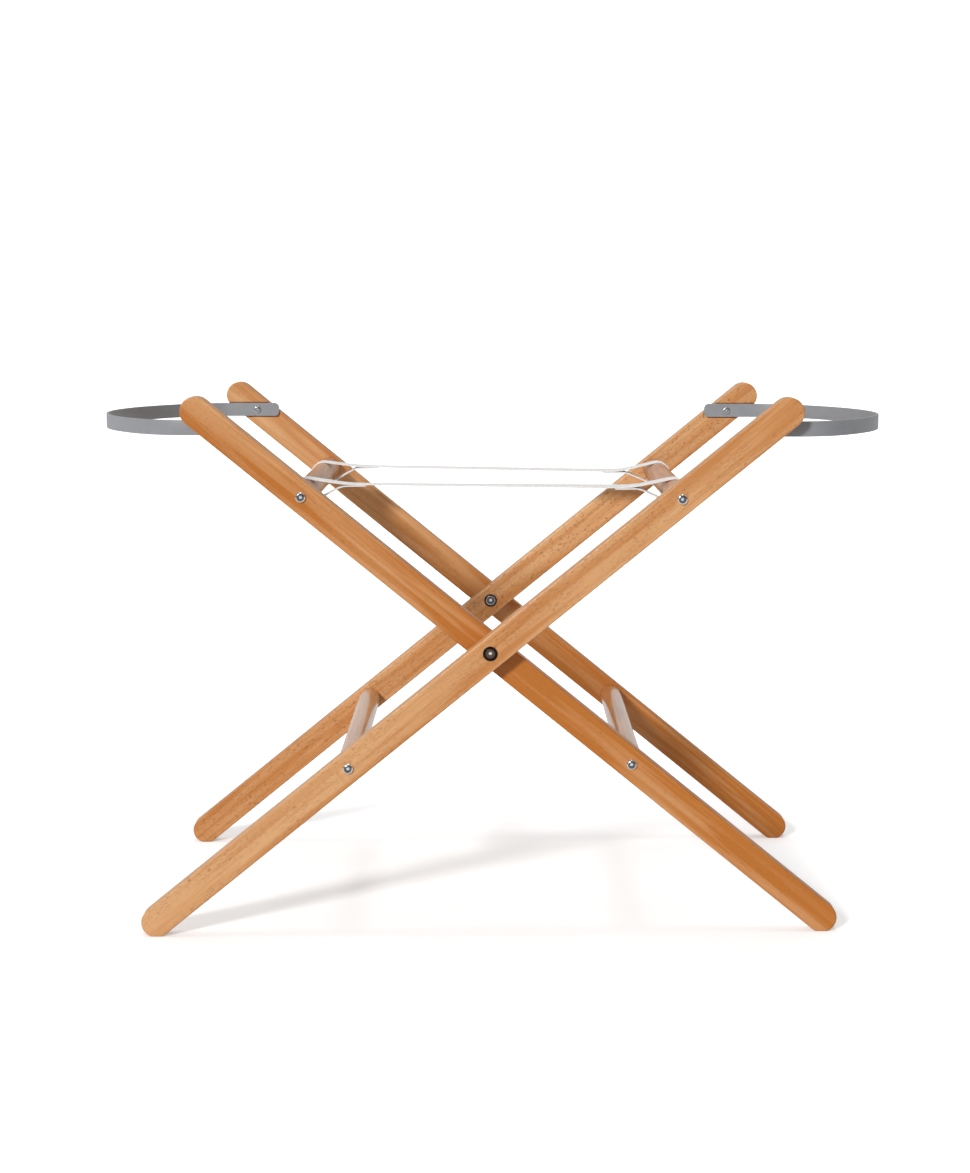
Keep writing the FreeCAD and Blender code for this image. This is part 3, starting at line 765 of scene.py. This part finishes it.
class BASKETSTAND_OT_hoops(bpy.types.Operator):
    """Bent steel band at each end, with rolled edges and rounded tabs"""
    bl_idname = "basketstand.hoops"
    bl_label = "Steel hoops"

    EDGE_STEPS = 4              # faces round each rolled edge
    CORNER_STEPS = 10           # faces along each corner bend
    BOW_STEPS = 56              # faces along the bowed end

    def execute(self, context):
        hoop = context.scene.basket_hoop
        coat = powder_coat("grey powder coat", hoop.colour)
        for tag in SIDES:
            piece = self.band(context, tag, hoop)
            paint(piece, coat)
            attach(piece, f"frame_{tag}")
            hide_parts(f"hoop_{tag}")
        return {"FINISHED"}

    def band(self, context, tag, hoop):
        """One hoop, bent from a straight band: side, corner, bowed end, corner, side."""
        side = SIDES[tag]
        low, high = HOOP[tag]
        screw = HOOP_SCREW[tag]
        half = (high.y - low.y - hoop.band_thickness) / 2
        centre_y = (high.y + low.y) / 2
        height = high.z - low.z
        tab = low.x if side > 0 else high.x
        reach = (high.x if side > 0 else -low.x) - hoop.band_thickness / 2
        bend = abs(screw.x) + hoop.straight
        depth = reach - bend
        up = half - hoop.corner_radius
        # The bowed end is an arc that meets both corner bends without a kink.
        bow = (depth ** 2 + up ** 2 - hoop.corner_radius ** 2) / (2 * (depth - hoop.corner_radius))
        bow_centre = reach - bow
        lean = math.atan2(up, bend - bow_centre)

        short = tab + side * hoop.short_end
        nothing_selected()
        bpy.ops.mesh.primitive_plane_add(
            size=1, location=(short, centre_y - half, (low.z + high.z) / 2), rotation=(0, math.pi / 2, 0))
        piece = context.object
        piece.name = f"hoop_band_{tag}"
        piece.scale = (height, hoop.band_thickness, 1)
        settle(piece)
        bpy.ops.object.mode_set(mode="EDIT")
        bpy.ops.mesh.select_all(action="SELECT")
        bpy.ops.mesh.bevel(offset=hoop.edge_round, segments=self.EDGE_STEPS, affect="VERTICES")
        self.straight(side * bend - short)
        self.bend(side * (math.pi / 2 - lean), (side * bend, centre_y - up, 0), self.CORNER_STEPS)
        self.bend(side * 2 * lean, (side * bow_centre, centre_y, 0), self.BOW_STEPS)
        self.bend(side * (math.pi / 2 - lean), (side * bend, centre_y + up, 0), self.CORNER_STEPS)
        self.straight(tab - side * bend)
        bpy.ops.mesh.select_all(action="SELECT")
        bpy.ops.mesh.remove_doubles(threshold=1e-6)
        bpy.ops.mesh.normals_make_consistent(inside=False)
        for end, arm in ((short, -1), (tab, 1)):
            on_arm = self.arm_faces(arm, centre_y, bend)
            for level, way in ((high.z, 1), (low.z, -1)):
                self.round_corner(piece, Vector((end, 0, level)), side, way, hoop.tab_round, on_arm)
        bpy.ops.object.mode_set(mode="OBJECT")
        smooth(piece, 30)
        return piece

    def straight(self, distance):
        """Draw the end of the band out along X."""
        bpy.ops.mesh.extrude_region_move(TRANSFORM_OT_translate={"value": (distance, 0, 0)})

    def bend(self, angle, centre, steps):
        """Sweep the end of the band about an upright axis, anticlockwise from above.

        With no window, spin turns the other way, so its angle is negated."""
        bpy.ops.mesh.spin(steps=steps, angle=-angle, center=centre, axis=(0, 0, 1), use_auto_merge=False)

    def arm_faces(self, arm, centre_y, bend):
        """A test that picks the faces of the band's front (-1) or back (1) arm."""
        def picked(face):
            centre = face.calc_center_median()
            return (centre.y - centre_y) * arm > 0 and abs(centre.x) < bend
        return picked

    def round_corner(self, piece, corner, side, way, radius, on_arm):
        """Round one corner of an end with a few slanting cuts."""
        middle_point = corner + Vector((side * radius, 0, -way * radius))
        for degrees in (22.5, 45, 67.5):
            angle = math.radians(degrees)
            outward = Vector((-side * math.cos(angle), 0, way * math.sin(angle)))
            select_faces(piece, on_arm)
            bpy.ops.mesh.bisect(plane_co=middle_point + outward * radius, plane_no=outward,
                                use_fill=True, clear_outer=True)


class BASKETSTAND_OT_straps(bpy.types.Operator):
    """Two webbing straps, looped round the upper rails and sewn"""
    bl_idname = "basketstand.straps"
    bl_label = "Carrying straps"

    SPACING = 2.0 * MM          # between the crosswise edges of the webbing
    ACROSS = 12                 # faces across the webbing
    LOOP_STEPS = 40             # points round a rail, before they are evened out
    BEND_STEPS = 8              # points along a soft corner, likewise
    RAIL_GAP = 0.08 * MM        # between webbing and rail
    LAP_DROP = 1.04             # from the run down to the lap under it, in thicknesses
    KNEE_BEND = 12 * MM         # how far each side of the knee the webbing curves
    JOIN_BEND = 5 * MM          # how far each side of the join the lap curves
    ROLL_ENDS = 60 * MM         # from the middle of a rail to where the roll starts to die out
    ROLL_FADE = 30 * MM         # over which the roll dies out
    STITCH_SHARE = 0.86         # length of a stitch, as a share of the pitch
    STITCH_LIFT = 0.12 * MM     # how far a stitch stands off the webbing
    STITCH_DIP = 0.22 * MM      # how far a stitch's ends dip back in
    STITCH_PINCH = 0.35         # how much narrower a stitch's ends are

    def execute(self, context):
        strap = context.scene.basket_strap
        cloth = webbing("white webbing", strap)
        sewing = thread("sewing thread")
        for name, (tilt, twist) in STRAP_LAY.items():
            path, laps = self.route(strap, tilt)
            place_y = middle(f"strap_{name}").y
            piece, length = self.ribbon(context, f"carry_strap_{name}", path, place_y, strap, twist)
            paint(piece, cloth)
            seam = self.stitching(context, f"strap_stitching_{name}", laps, place_y, strap, twist)
            paint(seam, sewing)
            for item in (piece, seam):
                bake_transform(item)
            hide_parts(f"strap_{name}")
        return {"FINISHED"}

    def route(self, strap, tilt):
        """The middle line of the webbing in the XZ plane, from one sewn end to the other, and its laps."""
        right, right_lap = self.half_route(strap, UPPER_RAIL.z + strap.rise - tilt)
        left, left_lap = self.half_route(strap, UPPER_RAIL.z + strap.rise + tilt)
        mirrored = [Vector((-point.x, point.y)) for point in reversed(left)]
        return self.even(mirrored + right[1:], self.SPACING), {1: right_lap, -1: left_lap}

    def half_route(self, strap, level):
        """The +X half of the route, whose run ends at the height `level`.

        From the middle it runs out, goes over the top of the rail and round its outer side, and comes
        back under it to the sewn lap. The lap is given as its join and the heights above and below."""
        centre = Vector((UPPER_RAIL.x, UPPER_RAIL.z))
        radius = RAIL_RADIUS + self.RAIL_GAP + strap.thickness / 2
        under = level - strap.thickness * self.LAP_DROP
        start = Vector((0, UPPER_RAIL.z + strap.rise))
        knee = Vector((centre.x - strap.knee, level))
        join = Vector((centre.x - strap.join, under))
        end = Vector((join.x - strap.lap, under))

        top = self.touch(knee - centre, radius, -1)
        bottom = self.touch(join - centre, radius, 1) - 2 * math.pi
        angles = [top + (bottom - top) * step / self.LOOP_STEPS for step in range(self.LOOP_STEPS + 1)]
        loop = [centre + radius * Vector((math.cos(angle), math.sin(angle))) for angle in angles]
        over = self.soft_corner(Vector((0, level)), knee, loop[0], self.KNEE_BEND)
        back = self.soft_corner(loop[-1], join, end, self.JOIN_BEND)
        return [start] + over + loop + back + [end], (join.x, level, under)

    def touch(self, offset, radius, turn):
        """Angle at which a line from a point, given from the rail's middle, touches the loop."""
        return math.atan2(offset.y, offset.x) + turn * math.acos(radius / offset.length)

    def soft_corner(self, before, corner, after, reach):
        """Points that round a corner of the route with a parabola."""
        start = corner + (before - corner).normalized() * reach
        end = corner + (after - corner).normalized() * reach
        points = []
        for step in range(self.BEND_STEPS + 1):
            share = step / self.BEND_STEPS
            points.append(start.lerp(corner, share).lerp(corner.lerp(end, share), share))
        return points

    def even(self, points, spacing):
        """The same line with points an even distance apart."""
        lengths = [0.0]
        for first, second in zip(points, points[1:]):
            lengths.append(lengths[-1] + (second - first).length)
        count = round(lengths[-1] / spacing)
        result, index = [], 0
        for step in range(count + 1):
            target = lengths[-1] * step / count
            while index < len(points) - 2 and lengths[index + 1] < target:
                index += 1
            span = lengths[index + 1] - lengths[index]
            result.append(points[index].lerp(points[index + 1], (target - lengths[index]) / span))
        return result

    def roll(self, x, twist):
        """The strap's slight roll about its own length: it grows from the middle, and ends at the rails."""
        reach = UPPER_RAIL.x - self.ROLL_ENDS
        grown = max(-1.0, min(1.0, x / reach))
        fading = max(0.0, abs(x) - reach) / self.ROLL_FADE
        return twist * grown * max(0.0, 1 - fading)

    def ribbon(self, context, name, path, place_y, strap, twist):
        """A flat length of webbing laid along the route, given its thickness and soft selvedges."""
        count = len(path) - 1
        length = sum((b - a).length for a, b in zip(path, path[1:]))
        nothing_selected()
        bpy.ops.mesh.primitive_grid_add(x_subdivisions=count, y_subdivisions=self.ACROSS, size=1)
        piece = context.object
        piece.name = name
        settle(piece)
        layer = piece.data.uv_layers[0]
        layer.name = "Webbing"
        for loop in piece.data.loops:
            flat = piece.data.vertices[loop.vertex_index].co
            layer.data[loop.index].uv = ((flat.x + 0.5) * length, (flat.y + 0.5) * strap.width)
        for vertex in piece.data.vertices:
            here = path[round((vertex.co.x + 0.5) * count)]
            offset = vertex.co.y * strap.width
            angle = self.roll(here.x, twist)
            vertex.co = (here.x, place_y + offset * math.cos(angle), here.y + offset * math.sin(angle))
        body = piece.modifiers.new("thickness", "SOLIDIFY")
        body.thickness = strap.thickness
        body.offset = 0
        edge = piece.modifiers.new("selvedge", "BEVEL")
        edge.width = strap.selvedge
        edge.segments = 2
        edge.angle_limit = math.radians(60)
        apply_all(piece)
        smooth(piece, 50)
        return piece, length

    def stitching(self, context, name, laps, place_y, strap, twist):
        """A box of lockstitches through each lap, seen on both faces."""
        single = self.one_stitch(context, strap)
        copies = []
        for side, (join_x, level, under) in laps.items():
            faces = ((level + strap.thickness / 2, 1), (under - strap.thickness / 2, -1))
            for spot, run in self.sewn_box(strap, join_x):
                turn = Matrix.Rotation(math.atan2(run.y, side * run.x), 4, "Z")
                angle = self.roll(side * spot.x, twist)
                for height, face in faces:
                    lift = spot.y * math.sin(angle) + face * self.STITCH_LIFT
                    place = (side * spot.x, place_y + spot.y * math.cos(angle), height + lift)
                    flip = Matrix.Rotation(0 if face > 0 else math.pi, 4, "X")
                    copy = single.copy()
                    copy.data = single.data.copy()
                    context.collection.objects.link(copy)
                    copy.matrix_world = Matrix.Translation(place) @ turn @ flip
                    copies.append(copy)
        nothing_selected()
        for copy in copies:
            copy.select_set(True)
        context.view_layer.objects.active = copies[0]
        bpy.ops.object.join()
        seam = context.object
        seam.name = name
        settle(seam)
        bpy.data.objects.remove(single)
        smooth(seam, 60)
        return seam

    def one_stitch(self, context, strap):
        """A short length of thread along X, thinner at its ends, which dip into the webbing."""
        length = strap.stitch_pitch * self.STITCH_SHARE
        nothing_selected()
        bpy.ops.mesh.primitive_cylinder_add(
            vertices=6, radius=strap.thread_radius, depth=length, end_fill_type="TRIFAN",
            rotation=(0, math.pi / 2, 0))
        stitch = context.object
        settle(stitch)
        bpy.ops.object.mode_set(mode="EDIT")
        bpy.ops.mesh.select_all(action="SELECT")
        bpy.ops.mesh.subdivide(number_cuts=1)
        bpy.ops.object.mode_set(mode="OBJECT")
        for vertex in stitch.data.vertices:
            share = min(1.0, abs(vertex.co.x) / (length / 2))
            vertex.co.z -= self.STITCH_DIP * share ** 2
            vertex.co.y *= 1 - self.STITCH_PINCH * share
        return stitch

    def sewn_box(self, strap, join_x):
        """Each stitch of the box through the +X lap: its place across the strap, and its line's run."""
        near, far = join_x - strap.seam_start, join_x - strap.seam_end
        edge = strap.width / 2 - strap.seam_inset
        lines = [
            (Vector((near, -edge)), Vector((near, edge))),
            (Vector((far, -edge)), Vector((far, edge))),
            (Vector((near, -edge)), Vector((far, -edge))),
            (Vector((near, edge)), Vector((far, edge)))]
        for first, second in lines:
            run = second - first
            number = round(run.length / strap.stitch_pitch)
            for step in range(number):
                yield first.lerp(second, (step + 0.5) / number), run


class BASKETSTAND_PT_panel(bpy.types.Panel):
    """Sidebar panel that lists the pieces"""
    bl_label = "Basket Stand"
    bl_idname = "BASKETSTAND_PT_panel"
    bl_space_type = "VIEW_3D"
    bl_region_type = "UI"
    bl_category = "Basket Stand"

    def draw(self, context):
        layout = self.layout
        for operator in STEPS:
            layout.operator(operator.bl_idname)
        for name in SETTINGS:
            group = getattr(context.scene, name)
            box = layout.box()
            for key in group.__annotations__:
                box.prop(group, key)


STEPS = (BASKETSTAND_OT_stage, BASKETSTAND_OT_wood, BASKETSTAND_OT_hardware, BASKETSTAND_OT_hoops,
         BASKETSTAND_OT_straps)
SETTINGS = {"basket_wood": WoodSettings, "basket_hoop": HoopSettings, "basket_strap": StrapSettings,
            "basket_stage": StageSettings}
CLASSES = (*SETTINGS.values(), *STEPS, BASKETSTAND_PT_panel)


def register():
    for item in CLASSES:
        bpy.utils.register_class(item)
    for name, group in SETTINGS.items():
        setattr(bpy.types.Scene, name, PointerProperty(type=group))


def unregister():
    for name in SETTINGS:
        delattr(bpy.types.Scene, name)
    for item in reversed(CLASSES):
        bpy.utils.unregister_class(item)


def main():
    register()
    bpy.ops.basketstand.stage()
    bpy.ops.basketstand.wood()
    bpy.ops.basketstand.hardware()
    bpy.ops.basketstand.hoops()
    bpy.ops.basketstand.straps()


if __name__ == "__main__":
    main()
